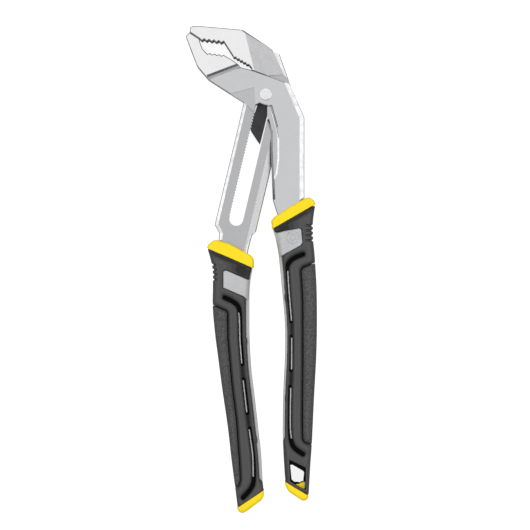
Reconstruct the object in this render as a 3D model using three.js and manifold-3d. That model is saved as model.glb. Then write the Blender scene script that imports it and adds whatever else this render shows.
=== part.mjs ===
// Tongue and groove pliers, 300 mm class, box joint, slot adjustment with a toothed pawl.
// Millimetres. The tool lies flat: X across, Y along the tool toward the jaws, Z through its
// thickness. While modelling, the origin is the centre of the pivot pin; the last lines move it to
// the middle of the underside.
import * as THREE from 'three';
import { mergeVertices } from 'three/addons/utils/BufferGeometryUtils.js';
import Module from 'manifold-3d';

const wasm = await Module();
wasm.setup();

// ---- Driving dimensions ----

const gap = 0.3;                 // clearance between neighbouring pieces
const beyond = 12;               // how far cutting bodies run past what they cut
const flatness = 0.001;          // a corner that turns less than this area, in mm2, is no corner

// Slot arm: a flat bar that leans to the right going up; t runs across it and s along it.
const lean = THREE.MathUtils.degToRad(13.4);
const barLeft = -12.1;
const barRight = 13.6;
const barHalf = 2.5;             // half thickness
const barFoot = -85;             // where the shoulders narrow the bar to the tang
const barTop = 14;
const barBevel = { edge: 2.2, depth: 0.9 };
const barRightBevel = { width: 4.4, drop: 1.4, extra: 12 };
const barEdge = { edge: 1.2, depth: 1.47 };
const barEdgeHalf = 2.7;         // where the steep edge would meet if it ran on over the bar
const slotHalf = 4.3;
const slotTop = 0.4;             // centre of the slot's upper round end
const slotFoot = -78.4;          // centre of its lower round end
const slotSteps = 10;

// Rack on the slot's left side, and the pawl that rides in it.
const pitch = 1.8;
const toothDepth = 0.5;
const toothFlat = 0.3;           // width of a tooth's crest and of its root
const rackFrom = -12.6;
const rackTeeth = 36;
const pawlTeeth = 6;
const pawlHalf = 2.3;
const springHalf = 1;
const springThickness = 0.35;
const springSeatHalf = 1.3;

// Jaws and cheeks of the pivot arm.
const jawHalf = 7.3;
const cheekHalf = 6;
const cheekInner = barHalf + gap;
const openAngle = THREE.MathUtils.degToRad(26);
const sweepSteps = 5;
const jawEdge = 0.5;
const cheekChamfer = 0.4;
const facetSlope = 0.235;        // the neck's front facet falls this much for each millimetre
const neckHalf = 3.2;            // the neck's half thickness at its right-hand bevel
const crestHalf = 5.6;           // and at the bevel along its crest
const cheekBevel = { width: 3, drop: 1.2, extra: 6 };
const cornerBevel = { width: 1.46, drop: 0.65, extra: 6 };
const crestBevel = { width: 0.6, drop: 1.6, extra: 6 };
const brokenEdge = { width: 0.45, drop: 0.5 };
const innerEdge = { width: 1.2, drop: 2.4 };
const stepSlope = { width: 2.95, drop: 1.65 };
const stepFillet = { width: 4, drop: jawHalf - cheekHalf };
const relief = { edge: 0.42, depth: 2.2 };
const reliefDepth = 2.6;
const pocketDepth = 1;
const stripDepth = 0.7;
const stripSlope = { edge: 1.1, depth: 0.45 };

// Pivot pin and its washer.
const pinRadius = 3;
const headRadius = 3.7;
const headRim = 0.3;
const domeHeight = 0.8;
const rivetRadius = 5.2;
const rivetHeight = 1.1;
const washerRadius = 6;
const washerHeight = 0.7;
const recessRadius = washerRadius + gap;
const roundSides = 32;

// Handles.
const gripHalf = 9.5;
const gripRound = 4.6;
const roundSteps = 4;
const coreHalf = 5.2;
const coreInset = 5.4;           // the grip's wall outside the core
const panelHalf = 8.9;
const tangHalf = 2.6;
const padDepth = 2;
const slitWidth = 2;
const finWidth = 0.7;            // the core's fins in the slits, moved off the slit's middle
const finShift = 0.3;
const finHalf = 8.6;
const ribGroove = 1.1;
const ribDepth = 0.9;
const ribReach = 4;              // half the length of a groove, from the handle's outer edge
const ribCount = 4;
const stations = 22;             // points along each long edge of a handle
const overTop = 14;              // the blank starts this far above the collar line
const overFoot = 8;
const tongueHalf = 6;            // the end cap's tongue under the hanging hole
const collarRound = { edge: 2.6, steps: 3 };
const capRound = { edge: 2.2, steps: 3 };
const ringDepth = 0.35;          // the two rings in the right window
const ringCentre = [16.4, -88, 0];
const ringRadii = [[3.5, 4], [1.6, 2.1]];

// ---- Solids ----

function solid(geometry) {
  geometry.deleteAttribute('normal');
  geometry.deleteAttribute('uv');
  const joined = mergeVertices(geometry);
  const vertProperties = new Float32Array(joined.attributes.position.array);
  const triVerts = new Uint32Array(joined.index.array);
  return new wasm.Manifold(new wasm.Mesh({ numProp: 3, vertProperties, triVerts }));
}

function geometryOf(body) {
  const { vertProperties, triVerts, numProp } = body.getMesh();
  const geometry = new THREE.BufferGeometry();
  const count = vertProperties.length / numProp;
  const positions = new Float32Array(count * 3);
  for (let i = 0; i < count; i += 1) {
    positions.set(vertProperties.subarray(i * numProp, i * numProp + 3), i * 3);
  }
  geometry.setAttribute('position', new THREE.BufferAttribute(positions, 3));
  geometry.setIndex(new THREE.BufferAttribute(new Uint32Array(triVerts), 1));
  return geometry;
}

// The outline without the points that lie on a straight line between their neighbours.
function corners(points) {
  return points.filter(([x, y], i) => {
    const [ax, ay] = points[(i + points.length - 1) % points.length];
    const [bx, by] = points[(i + 1) % points.length];
    return Math.abs((x - ax) * (by - y) - (bx - x) * (y - ay)) > flatness;
  });
}

// A flat outline made solid between two heights. Its edges are cut back by `edge` over `depth`:
// a chamfer with one step, a rounding with more. `grow` moves the whole outline outward.
function plate(points, low, high, { edge = 0, depth = edge, steps = 1, grow = 0 } = {}) {
  const shape = new THREE.Shape(corners(points).map(([x, y]) => new THREE.Vector2(x, y)));
  const geometry = new THREE.ExtrudeGeometry(shape, {
    depth: high - low - 2 * depth,
    bevelEnabled: true,
    bevelSize: edge,
    bevelThickness: depth,
    bevelOffset: grow - edge,
    bevelSegments: edge > 0 ? steps : 0,
    curveSegments: 1,
  });
  geometry.translate(0, 0, low + depth);
  return solid(geometry);
}

// The same body on the front face and mirrored on the back.
function bothFaces(body) {
  return body.add(body.mirror([0, 0, 1]));
}

// A wedge that bevels a plate's edge from p to q, with the material on the left of that line.
// It takes `drop` off at the edge and nothing at `width` inside it. With a `step`, the bevel starts
// with that sudden drop at `width`. `extra` runs it past both ends, to mitre with its neighbours.
function bevelCut(p, q, top, { width, drop, step = 0, extra = 0 }) {
  const along = new THREE.Vector2(q[0] - p[0], q[1] - p[1]);
  const length = along.length() + 2 * extra;
  const slope = (drop - step) / width;
  const inside = step > 0 ? width : width + beyond / Math.max(1, slope);
  const shape = new THREE.Shape([
    new THREE.Vector2(inside, top - step + slope * (inside - width)),
    new THREE.Vector2(-beyond, top - step - slope * (width + beyond)),
    new THREE.Vector2(-beyond, top + 2 * beyond),
    new THREE.Vector2(inside, top + 2 * beyond),
  ]);
  const geometry = new THREE.ExtrudeGeometry(shape, { depth: length, bevelEnabled: false });
  geometry.translate(0, 0, -extra);
  const forward = new THREE.Vector3(along.x, along.y, 0).normalize();
  const inward = new THREE.Vector3(-forward.y, forward.x, 0);
  const up = new THREE.Vector3(0, 0, 1);
  const place = new THREE.Matrix4().makeBasis(inward, up, forward);
  place.setPosition(p[0], p[1], 0);
  geometry.applyMatrix4(place);
  return solid(geometry);
}

// A bevel whose own outer edge is broken by a narrow, steeper one.
function edgedBevel(p, q, top, bevel) {
  const edgeTop = top - bevel.drop * (1 - brokenEdge.width / bevel.width);
  const broken = bevelCut(p, q, edgeTop, { ...brokenEdge, extra: bevel.extra });
  return bevelCut(p, q, top, bevel).add(broken);
}

function rotated(body, angle) {
  return body.rotate([0, 0, THREE.MathUtils.radToDeg(angle)]);
}

// The space that a body sweeps while it turns about the pin.
function swept(body, angle) {
  let total = body;
  for (let i = 1; i < sweepSteps; i += 1) {
    total = total.add(rotated(body, (angle * i) / (sweepSteps - 1)));
  }
  return total;
}

// ---- Outlines ----

// A point of the slot arm: t across the bar, s along it from the pin toward the jaw.
function onArm(t, s) {
  return [t * Math.cos(lean) + s * Math.sin(lean), s * Math.cos(lean) - t * Math.sin(lean)];
}

function arc(cx, cy, radius, from, to, steps) {
  const points = [];
  for (let i = 0; i <= steps; i += 1) {
    const angle = from + ((to - from) * i) / steps;
    points.push([cx + radius * Math.cos(angle), cy + radius * Math.sin(angle)]);
  }
  return points;
}

// Teeth along the line from p to q, pointing to its right.
function teeth(p, q, count, depth) {
  const points = [];
  const dx = (q[0] - p[0]) / count;
  const dy = (q[1] - p[1]) / count;
  const size = Math.hypot(dx, dy);
  for (let i = 0; i < count; i += 1) {
    const x = p[0] + dx * (i + 0.5);
    const y = p[1] + dy * (i + 0.5);
    points.push([p[0] + dx * i, p[1] + dy * i]);
    points.push([x + (dy / size) * depth, y - (dx / size) * depth]);
  }
  points.push(q);
  return points;
}

// A smooth edge through [x, y] points, read as x at a given y.
function edge(points) {
  const curve = new THREE.SplineCurve(points.map(([x, y]) => new THREE.Vector2(x, y)));
  const fine = curve.getPoints(points.length * 12);
  return (y) => {
    const i = Math.max(1, fine.findIndex((point) => point.y <= y));
    const [a, b] = [fine[i - 1], fine[i]];
    return a.x + ((b.x - a.x) * (y - a.y)) / (b.y - a.y);
  };
}

// The outline between two edges, from one height down to another.
function ribbon(left, right, top, foot, count = stations) {
  const down = [];
  const up = [];
  for (let i = 0; i <= count; i += 1) {
    const y = top + ((foot - top) * i) / count;
    down.push([left(y), y]);
    up.unshift([right(y), y]);
  }
  return [...down, ...up];
}

// A band of constant width along a smooth line through points.
function band(points, width) {
  const curve = new THREE.SplineCurve(points.map(([x, y]) => new THREE.Vector2(x, y)));
  const count = points.length * 3;
  const left = [];
  const right = [];
  for (let i = 0; i <= count; i += 1) {
    const at = curve.getPoint(i / count);
    const along = curve.getTangent(i / count);
    left.push([at.x - (along.y * width) / 2, at.y + (along.x * width) / 2]);
    right.unshift([at.x + (along.y * width) / 2, at.y - (along.x * width) / 2]);
  }
  return [...left, ...right];
}

// Everything on the left of the line from p to q.
function leftOf(p, q) {
  const reach = 400;
  const along = new THREE.Vector2(q[0] - p[0], q[1] - p[1]).normalize();
  const [a, b] = [[p[0] - along.x * reach, p[1] - along.y * reach],
    [q[0] + along.x * reach, q[1] + along.y * reach]];
  return plate([a, b, [b[0] - along.y * reach, b[1] + along.x * reach],
    [a[0] - along.y * reach, a[1] + along.x * reach]], -gripHalf - beyond, gripHalf + beyond);
}

// The line from p to q moved to its left.
function moved(p, q, distance) {
  const size = Math.hypot(q[0] - p[0], q[1] - p[1]);
  const shift = [(-(q[1] - p[1]) / size) * distance, ((q[0] - p[0]) / size) * distance];
  return [[p[0] + shift[0], p[1] + shift[1]], [q[0] + shift[0], q[1] + shift[1]]];
}

// ---- Shared places of the head ----

const upperTip = [-46.7, 38.1];
const contactEnd = [-40.6, 34.1];
const mouthTop = [-25.8, 32.3];
const mouthBack = [-20.3, 23.7];
const heel = [-10.5, 18.1];
const neckCorner = [8.6, 24.6];
const neckFoot = [14.8, 6.8];
const crown = [-13.5, 39.4];
const ridgeFoot = [-7.4, 16];
const ridgeTop = [-12.9, 38.1];

const cheekTopLeft = [-8, 14.6];
const cheekTopRight = [14.6, 6.4];
const shankShoulder = [23.7, -14.1];
const shankFoot = [23.7, -63.3];
const stepLeft = [-35.2, 9];
const stepRight = [-15.4, 16.5];

const cheekEdge = [[-12.9, -5.2], [-7.4, -10.5], [-6.2, -6.5], [-3.7, -5.3], [-0.9, -6.5],
  [0.9, -6.8]];
const shankInner = [[0.9, -15.4], [3.1, -24.6], [3.1, -33.8], [4.3, -64.6], [6.8, -72.6]];

// ---- Slot arm ----

// The line of the rack's first teeth, moved across the bar by `shift`.
function rackTeethLine(count, shift = 0) {
  const points = [];
  const slope = pitch / 2 - toothFlat;
  const [crest, root] = [-slotHalf + shift, -slotHalf - toothDepth + shift];
  for (let i = 0; i < count; i += 1) {
    const s = rackFrom - i * pitch;
    points.push(onArm(crest, s));
    points.push(onArm(root, s - slope));
    points.push(onArm(root, s - slope - toothFlat));
    points.push(onArm(crest, s - 2 * slope - toothFlat));
  }
  return points;
}

function slotOutline() {
  const top = arc(0, slotTop, slotHalf, 0, Math.PI, slotSteps).map(([t, s]) => onArm(t, s));
  const foot = arc(0, slotFoot, slotHalf, Math.PI, 2 * Math.PI, slotSteps);
  return [...top, ...rackTeethLine(rackTeeth), ...foot.map(([t, s]) => onArm(t, s))];
}

function barOutline(grow = 0) {
  const [left, right] = [barLeft - grow, barRight + grow];
  return [onArm(left, barTop), onArm(left, barFoot), onArm(left + 4, barFoot - 4.5),
    onArm(-7.6, barFoot - 8), [-29, -100], [-28.2, -124], [-25, -160], [-20.5, -200], [-17.6, -220],
    [-10.5, -220], [-10.8, -200], [-13.6, -160], [-14.4, -130], [-12.4, -104],
    onArm(11.6, barFoot - 9), onArm(11.8, barFoot - 1), onArm(right, barFoot + 1.5), onArm(right, 9)];
}

// The neck stays thin wherever the cheeks pass while the jaws open.
function cheekSweep() {
  const cheek = [cheekTopLeft, stepRight, [-16, -2], cheekEdge[0], [0, -30], shankFoot, shankShoulder,
    cheekTopRight];
  const face = plate(cheek, barHalf, jawHalf + beyond, { edge: 0, grow: gap });
  return bothFaces(swept(face, openAngle));
}

function neckFacets() {
  const slope = Math.atan(facetSlope);
  const along = new THREE.Vector3(ridgeTop[0] - ridgeFoot[0], ridgeTop[1] - ridgeFoot[1], 0);
  along.normalize();
  const across = new THREE.Vector3(along.y, -along.x, 0);
  const down = across.clone().multiplyScalar(Math.cos(slope));
  down.z = -Math.sin(slope);
  const normal = new THREE.Vector3().crossVectors(down, along).negate();
  const size = 60;
  const box = new THREE.BoxGeometry(size, size, size);
  box.translate(size / 2, 0, size / 2);
  box.applyMatrix4(new THREE.Matrix4().makeBasis(down, along, normal.negate()));
  box.translate(ridgeFoot[0], ridgeFoot[1], jawHalf);
  return bothFaces(solid(box));
}

function neckBevels() {
  const corner = edgedBevel(neckFoot, neckCorner, neckHalf, cornerBevel);
  const crest = bevelCut(neckCorner, crown, crestHalf, crestBevel);
  return bothFaces(corner).add(bothFaces(crest));
}

function upperJawOutline() {
  return [upperTip, ...teeth(contactEnd, mouthTop, 5, 1.2), ...teeth(mouthBack, heel, 5, 0.8),
    [-8.7, 16], onArm(barLeft + 0.6, 9), onArm(barRight, 4), neckFoot, neckCorner, crown,
    [-40.6, 41.8], [-44.9, 41.8], [-46.4, 40.9]];
}

function slotBar() {
  const bar = plate(barOutline(), -barHalf, barHalf, barBevel);
  const edges = plate(barOutline(), -barEdgeHalf, barEdgeHalf, barEdge);
  const rightBevel = edgedBevel(onArm(barRight, barFoot), onArm(barRight, 0), barHalf, barRightBevel);
  return bar.intersect(edges).subtract(bothFaces(rightBevel));
}

function slotArm() {
  const thin = plate([neckFoot, neckCorner, crown, [-9, 17], onArm(barLeft, 12), onArm(barLeft, 2),
    onArm(barRight, 2), onArm(barRight, 9)], -barHalf, barHalf);
  const jaw = plate(upperJawOutline(), -jawHalf, jawHalf, { edge: jawEdge });
  const head = jaw.subtract(neckFacets()).subtract(cheekSweep());
  const slot = plate(slotOutline(), -beyond, beyond);
  return slotBar().add(thin).add(head).subtract(neckBevels()).subtract(slot);
}

// ---- Pivot arm ----

function shankOutline() {
  return [cheekTopLeft, stepRight, [-26, 13.6], stepLeft, [-18.5, -1.8], ...cheekEdge, ...shankInner,
    [9.4, -80], [9.8, -86], [14.6, -96], [16.8, -140], [16.2, -180], [17.2, -212], [22, -212],
    [23, -180], [24.6, -140], [23.6, -96], [23.7, -80], shankFoot, shankShoulder, cheekTopRight];
}

function lowerJawOutline() {
  const [low, high] = moved(upperTip, contactEnd, -gap);
  return [low, [-48.6, 36.2], [-49, 34.9], [-46.1, 27.1], [-42.4, 17.8], [-41.2, 16], stepLeft,
    stepRight, [-16.3, 17.8], [-20.9, 21.2], ...teeth([-24.4, 23.1], [-35.7, 24.6], 4, 0.8),
    [-38.7, 27.7], [-40.2, 31.7], high];
}

// The window that the slot arm passes through, opened for its whole swing.
function armWindow() {
  const outline = [onArm(barLeft - gap, -100), onArm(barRight + gap, -100), onArm(barRight + gap, 40),
    onArm(barLeft - gap, 40)];
  return swept(plate(outline, -cheekInner, cheekInner), -openAngle);
}

// The cheek's outer bevels, the sunk strip along its inner edge with the groove at its top, and
// the pocket under the lower jaw.
function headCuts() {
  const outline = [[-8, -6.6], [3.6, -6.6], [6.8, -19.7], [8.2, -27], [8.2, -40], [7, -49], [3, -57],
    [-8, -57]];
  const floor = cheekHalf - stripDepth;
  const mouth = floor + 2 * stripSlope.depth;
  return [
    edgedBevel(shankShoulder, neckFoot, cheekHalf, cheekBevel),
    edgedBevel([23.7, -110], shankShoulder, cheekHalf, cheekBevel),
    bevelCut([0.9, -15.4], [3.1, -24.6], floor, innerEdge),
    bevelCut([3.1, -22], [3.1, -34.5], floor, innerEdge),
    bevelCut([3.1, -33.8], [4.3, -64.6], floor, innerEdge),
    plate(outline, floor, mouth + beyond, stripSlope),
    plate([[2.5, -6.6], [3.8, -6.4], [7.5, -19.8], [6.5, -20.6]], cheekHalf - reliefDepth, beyond,
      relief),
    plate([[-22, 0.4], [-7.1, 4.4], [-6.4, -12], [-22, -12]], cheekHalf - pocketDepth, beyond),
  ].map(bothFaces).reduce((total, cut) => total.add(cut));
}

// What is taken off both faces of the shank below the collar, to leave the tang.
function thinTang(clearance) {
  const top = -86 - clearance;
  const outline = [[-10, top], [40, top], [40, -230], [-10, -230]];
  return bothFaces(plate(outline, tangHalf + clearance, beyond));
}

function pivotArm() {
  const body = plate(shankOutline(), -cheekHalf, cheekHalf, { edge: cheekChamfer });
  const step = bevelCut(stepLeft, stepRight, jawHalf, stepSlope)
    .intersect(bevelCut(stepLeft, stepRight, jawHalf, stepFillet));
  const jaw = plate(lowerJawOutline(), -jawHalf, jawHalf, { edge: jawEdge });
  const hole = rod(pinRadius + gap, -beyond, beyond);
  const recess = rod(recessRadius, -beyond, -cheekHalf + washerHeight + gap);
  return body.add(jaw.subtract(bothFaces(step))).subtract(headCuts()).subtract(armWindow())
    .subtract(hole).subtract(recess).subtract(thinTang(0));
}

// ---- Pin, washer, pawl and its spring ----

function lathe(profile, segments = roundSides) {
  const outline = profile.map(([r, z]) => new THREE.Vector2(r, z));
  return solid(new THREE.LatheGeometry(outline, segments).rotateX(Math.PI / 2));
}

function rod(radius, low, high) {
  return lathe([[0, low], [radius, low], [radius, high], [0, high]]);
}

// A rivet: its low round head lies on the front cheek, and its rear end is peened over the washer.
function pivotPin() {
  const rear = -cheekHalf - rivetHeight;
  const head = cheekHalf + gap;
  const dome = head + domeHeight;
  return lathe([[0, rear], [rivetRadius - 0.6, rear], [rivetRadius, rear + 0.4],
    [rivetRadius, -cheekHalf - gap], [pinRadius, -cheekHalf - gap], [pinRadius, head],
    [headRadius, head], [headRadius, head + headRim], [headRadius - headRim, dome - headRim],
    [2.1, dome - 0.1], [1, dome], [0, dome]]);
}

function pinWasher() {
  const [low, high] = [-cheekHalf, -cheekHalf + washerHeight];
  return lathe([[pinRadius + gap, low], [washerRadius, low], [washerRadius, high],
    [pinRadius + gap, high], [pinRadius + gap, low]]);
}

// The gaps of the rack, cut as teeth and moved off it by the clearance.
function pawl() {
  const toothed = rackTeethLine(pawlTeeth, gap);
  const reach = pinRadius + gap;
  const seat = arc(0, 0, reach, -0.35, -Math.PI + 0.35, 10).map(([t, s]) => onArm(t, s));
  const outline = [...seat, ...toothed, onArm(-3.6, rackFrom - pawlTeeth * pitch - 0.6),
    onArm(3.3, -30.4), onArm(3.6, -29.6), onArm(3.8, -8)];
  const block = plate(outline, -pawlHalf, pawlHalf);
  const springSeat = plate([onArm(1.9, -8), onArm(6, -8), onArm(6, -17), onArm(1.9, -17)],
    -springSeatHalf, springSeatHalf);
  return block.subtract(springSeat);
}

// A bowed leaf in the pawl's side. Its crest faces the smooth side of the slot.
function pawlSpring() {
  const line = [onArm(2.3, -8.6), onArm(2.5, -10.5), onArm(3.5, -13), onArm(2.5, -15.2),
    onArm(2.3, -16.6)];
  return plate(band(line, springThickness), -springHalf, springHalf);
}

// ---- Handles ----

const left = {
  wall: 1,                       // the way from the handle's outer edge into it, along X
  outer: edge([[-37, -86], [-35.7, -94.7], [-34.2, -100], [-32.7, -107], [-32.5, -118], [-32.6, -130.4],
    [-31.2, -146.4], [-29.3, -161.1], [-26.8, -180.2], [-23.4, -203.6], [-21, -224.5], [-18.9, -240.5],
    [-17, -256], [-15.6, -270]]),
  inner: edge([[-7, -86], [-7.6, -100], [-8.2, -107], [-9.4, -114], [-10, -121], [-10.1, -136],
    [-9.9, -152], [-8.7, -170.4], [-6.7, -186.7], [-4.4, -207.6], [-2.9, -221.4], [-2, -236.8],
    [-1, -248], [0, -270]]),
  top: [[-35.7, -94.4], [-8, -106.4]],
  foot: [[-17.5, -253.1], [-1.2, -242.2]],
  collar: [[-38, -98], [-36.4, -94.4], [-35.2, -91.8], [-32, -89.5], [-30.1, -89.2], [-22.1, -91.6],
    [-11.7, -97.2], [-9.2, -98.7], [-7.7, -100.4], [-7.3, -102], [-7.3, -112]],
  cap: [[-18, -246], [-17.6, -253.4], [-16.6, -255.8], [-14.1, -256.6], [-11.7, -255.4], [-2.6, -248.6],
    [-1.2, -246.2], [-1, -236]],
  panel: [[-26.4, -108.4], [-24.6, -107.5], [-4, -116.3], [-4, -126.1], [-11.7, -126.1], [-13.6, -124.2],
    [-26.4, -118.7]],
  pad: [[-40, -125.6], [-32.3, -129.2], [-24.6, -132.8], [-23.6, -134], [-23.4, -150.1], [-21, -176.5],
    [-18.1, -199.9], [-16.3, -224.5], [-15.7, -236], [-16.6, -239.4], [-18.5, -240.8], [-30, -246]],
  slits: [[[-25.2, -124.6], [-20, -127.2], [-16.6, -130.6], [-15.7, -137.1], [-15.4, -150.1],
    [-14.2, -165.4]], [[-13.5, -174.7], [-12.3, -185], [-11.1, -195.3]],
    [[-9.8, -204.8], [-8.7, -212.8], [-7.6, -221.4], [-7.2, -235], [-9.2, -241.5], [-14.1, -247.2]]],
  fins: [[[-16.2, -134], [-15.7, -138], [-15.4, -150.1], [-14.3, -164.6]],
    [[-13.4, -175.5], [-12.3, -185], [-11.2, -194.5]],
    [[-9.7, -205.6], [-8.7, -212.8], [-7.6, -221.4], [-7.2, -234]]],
  ribs: { from: -104.5, to: -113.5 },
  coreTop: -98,
  coreFoot: -238,
  stripInset: 1.3,
  stripTop: -122,
};

const right = {
  wall: -1,
  outer: edge([[31, -58], [30.4, -67.3], [29.5, -73.2], [28.9, -79.3], [29.1, -89.2], [29.8, -96.6],
    [30.4, -105], [31.2, -119.9], [31.4, -139.6], [31, -159.9], [29.6, -186.3], [28.3, -213.4],
    [27.2, -229.4], [26.2, -247], [25, -262]]),
  inner: edge([[2, -58], [3.4, -76.9], [4.3, -82.4], [6.2, -89.2], [8, -99.6], [10, -119.9],
    [11.7, -139.6], [11.8, -159.9], [10.9, -180.2], [10.5, -196], [10.5, -212.2], [11.1, -224.5],
    [11.6, -232.5], [12.2, -241], [13, -262]]),
  top: [[4.3, -82.4], [30.4, -67.3]],
  foot: [[12.1, -237.2], [26.3, -245.8]],
  collar: [[4.2, -88], [3.6, -80], [3.3, -77.4], [5.5, -75], [14.8, -68.9], [24, -63.7], [26.4, -63],
    [28.9, -64.4], [30.5, -66.7], [30.4, -74]],
  cap: [[11.6, -230], [11.8, -238.6], [12.6, -241.1], [14.1, -243.5], [22.4, -249], [24.6, -248.8],
    [26, -247.2], [26.4, -245], [26.8, -236]],
  panel: [[0, -86], [20.3, -82], [22, -82.5], [22.8, -91], [21.5, -92.9], [9.2, -99.6], [0, -99.6]],
  pad: [[40, -99.6], [30.1, -103.3], [22.8, -106.4], [21.7, -108.2], [22.3, -117], [22.8, -126.1],
    [22.9, -159.9], [22.6, -199.9], [22.8, -211.2], [24, -213], [28, -214.6], [40, -218]],
  slits: [[[22.8, -98.1], [17.8, -100.2], [14.4, -103], [12.9, -107.4], [13.7, -119.9], [15.3, -139.3]],
    [[15.4, -148.6], [15.4, -159], [15.3, -169.1]],
    [[14.8, -179.3], [14.6, -192], [14.6, -204.8], [15.4, -212], [17.6, -216.6], [22.8, -220.5]]],
  fins: [[[13, -108.5], [13.7, -119.9], [15.25, -138.5]], [[15.4, -149.4], [15.4, -159], [15.3, -168.3]],
    [[14.8, -180.1], [14.6, -192], [14.6, -204.8], [15.2, -210.6]]],
  ribs: { from: -80.5, to: -89.5 },
  coreTop: -80,
  coreFoot: -219,
  stripInset: 1,
  stripTop: -95,
};

// The hanging hole in the right handle, the sunk frame round it, and the end cap's tongue at its foot.
const hangHole = [[15, -227.2], [16.2, -227], [23.1, -231], [23.6, -232.4], [23.1, -237.2], [20, -238.4],
  [17.6, -238.3], [15.9, -236.9]];
const hangFrame = [[14.4, -223.8], [24.4, -228.6], [24.4, -242.4], [14.9, -237]];
const tongueOutline = [[18, -238.8], [20, -238.9], [22.9, -237.6], [24, -237.8], [23.6, -246],
  [17.4, -243]];

// The whole handle before it is divided: its inner edge stands back where the core shows beside it.
function blank(side, grow = 0, inset = side.stripInset) {
  const inner = (y) => side.inner(y) - (y < side.stripTop ? side.wall * inset : 0);
  const outline = ribbon(side.outer, inner, side.top[0][1] + overTop, side.foot[0][1] - overFoot);
  const half = gripHalf + grow;
  return plate(outline, -half, half, { edge: gripRound + grow, steps: roundSteps, grow });
}

// The length of the handle between its collar and its end cap.
function middle(side) {
  const [a, b] = moved(...side.top, -gap / 2);
  const [c, d] = moved(...side.foot, gap / 2);
  return leftOf(b, a).intersect(leftOf(c, d));
}

// The core's inner edge is bare, so its pocket in the grip is open there by `past`.
function coreOutline(side, grow, past) {
  const outer = (y) => side.outer(y) + side.wall * (coreInset - grow);
  const inner = (y) => side.inner(y) + side.wall * past;
  return ribbon(outer, inner, side.coreTop + grow, side.coreFoot - grow);
}

function fins(side) {
  const bodies = side.fins.map((line) => {
    const shifted = line.map(([x, y]) => [x - side.wall * finShift, y]);
    return bothFaces(plate(band(shifted, finWidth), coreHalf - 1, finHalf));
  });
  return bodies.reduce((total, fin) => total.add(fin));
}

function core(side, tang) {
  const spine = plate(coreOutline(side, 0, 0), -coreHalf, coreHalf, { edge: 1, steps: 2 });
  const panel = plate(side.panel, -panelHalf, panelHalf, { edge: 0.6, grow: -gap });
  const inside = blank(side, -0.5, 0);
  const body = spine.add(panel.intersect(inside)).add(fins(side)).intersect(middle(side));
  return body.subtract(tang);
}

// Two plain rings sunk into the window panel.
function medallion() {
  const low = panelHalf - ringDepth;
  const rings = ringRadii.map(([inner, outer]) => lathe([[inner, low], [outer, low], [outer, beyond],
    [inner, beyond], [inner, low]], 28));
  return bothFaces(rings[0].add(rings[1])).translate(ringCentre);
}

function padShell(side, depth, grow) {
  const zone = plate(side.pad, -beyond, beyond, { grow });
  return zone.subtract(blank(side, -depth));
}

function pad(side) {
  return blank(side).intersect(padShell(side, padDepth, 0)).intersect(middle(side));
}

// Short grooves across the handle's outer edge, below the collar.
function ribCuts(side) {
  const cuts = [];
  for (let i = 0; i < ribCount; i += 1) {
    const y = side.ribs.from + ((side.ribs.to - side.ribs.from) * i) / (ribCount - 1);
    const groove = solid(new THREE.BoxGeometry(ribReach, ribGroove, 4 * beyond));
    cuts.push(groove.translate([side.outer(y) + side.wall * (ribDepth - ribReach / 2), y, 0]));
  }
  return cuts.reduce((total, groove) => total.add(groove));
}

function grip(side, tang) {
  const pocket = plate(coreOutline(side, gap, beyond / 2), -coreHalf - gap, coreHalf + gap);
  const window = plate(side.panel, -beyond, beyond);
  let body = blank(side).intersect(middle(side)).subtract(padShell(side, padDepth + gap, gap));
  body = body.subtract(pocket).subtract(window).subtract(tang).subtract(ribCuts(side));
  side.slits.forEach((slit) => {
    body = body.subtract(bothFaces(plate(band(slit, slitWidth), coreHalf, beyond)));
  });
  return body;
}

// The hanging hole, its sunk frame, and the way for the end cap's tongue that lines its foot.
function hangCuts() {
  const hole = plate(hangHole, -beyond, beyond);
  const frame = plate(hangFrame, tongueHalf + gap, beyond);
  return hole.add(bothFaces(frame)).add(tongue(gap));
}

function tongue(grow) {
  return plate(tongueOutline, -tongueHalf - grow, tongueHalf + grow, { grow });
}

function collar(side, tang) {
  const [a, b] = moved(...side.top, gap / 2);
  const ring = plate(side.collar, -gripHalf, gripHalf, collarRound);
  return ring.intersect(leftOf(a, b)).subtract(tang);
}

function endCap(side) {
  const [c, d] = moved(...side.foot, -gap / 2);
  const cup = plate(side.cap, -gripHalf, gripHalf, capRound);
  return cup.intersect(leftOf(d, c));
}

// ---- Assembly ----

const colours = {
  steel: new THREE.MeshStandardMaterial({ color: 0xc9cbce, roughness: 0.3, metalness: 1 }),
  phosphate: new THREE.MeshStandardMaterial({ color: 0x3c3d3f, roughness: 0.6, metalness: 0.6 }),
  core: new THREE.MeshStandardMaterial({ color: 0xb9bbbd, roughness: 0.5, metalness: 0 }),
  rubber: new THREE.MeshStandardMaterial({ color: 0x2b2c2e, roughness: 0.75, metalness: 0 }),
  pad: new THREE.MeshStandardMaterial({ color: 0x242527, roughness: 0.9, metalness: 0 }),
  yellow: new THREE.MeshStandardMaterial({ color: 0xf4d40c, roughness: 0.35, metalness: 0 }),
};

const pliers = new THREE.Group();

function piece(name, body, colour) {
  const mesh = new THREE.Mesh(geometryOf(body), colours[colour].clone());
  mesh.name = name;
  pliers.add(mesh);
}

const leftTang = plate(barOutline(), -barHalf - gap, barHalf + gap, { grow: gap });
const rightTang = plate(shankOutline(), -cheekHalf - gap, cheekHalf + gap, { grow: gap })
  .subtract(thinTang(gap));

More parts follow.
